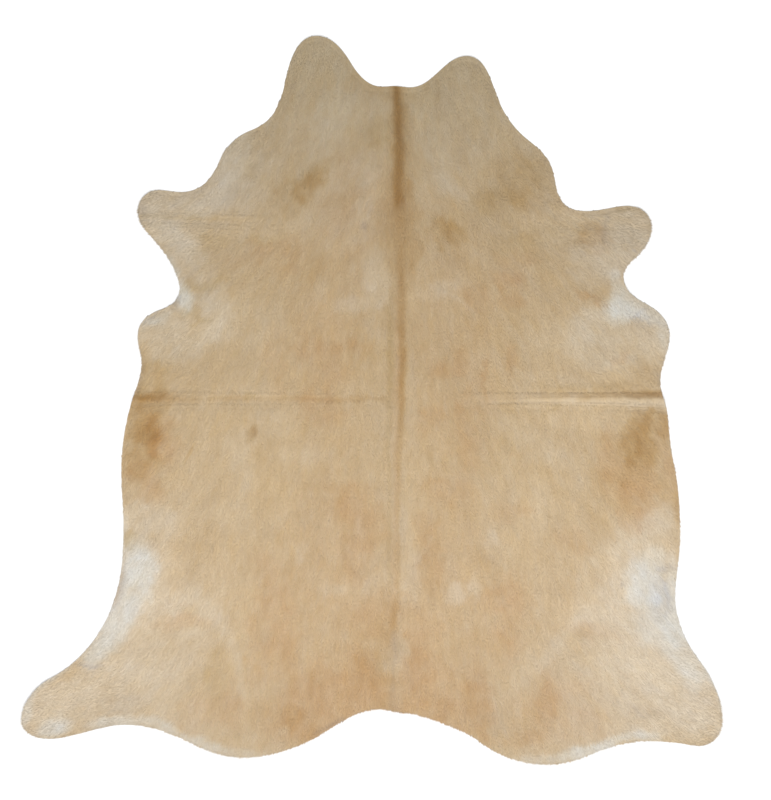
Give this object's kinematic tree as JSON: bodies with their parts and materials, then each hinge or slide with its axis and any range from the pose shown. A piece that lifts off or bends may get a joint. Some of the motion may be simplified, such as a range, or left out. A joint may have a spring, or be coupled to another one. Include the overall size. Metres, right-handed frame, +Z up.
{
  "type": "leather hide",
  "caption": "Hair-on cattle hide in pale caramel, laid flat as a rug, with its neck flaps, legs, flanks and fold creases.",
  "frame": {"origin": "middle of the hide's rectangle, on the floor that it lies on", "axes": "+Z up from the floor to the hair side, +Y towards the neck, +X towards the right-hand side seen from above"},
  "size_m": [2.1018, 2.187, 0.0108],
  "materials": {
    "hair_coat": "short flat-lying hair in pale caramel with a brown line down the spine, over dull suede-like skin"
  },
  "bodies": {
    "root": {"hide": "hair_coat"}
  },
  "joints": []
}
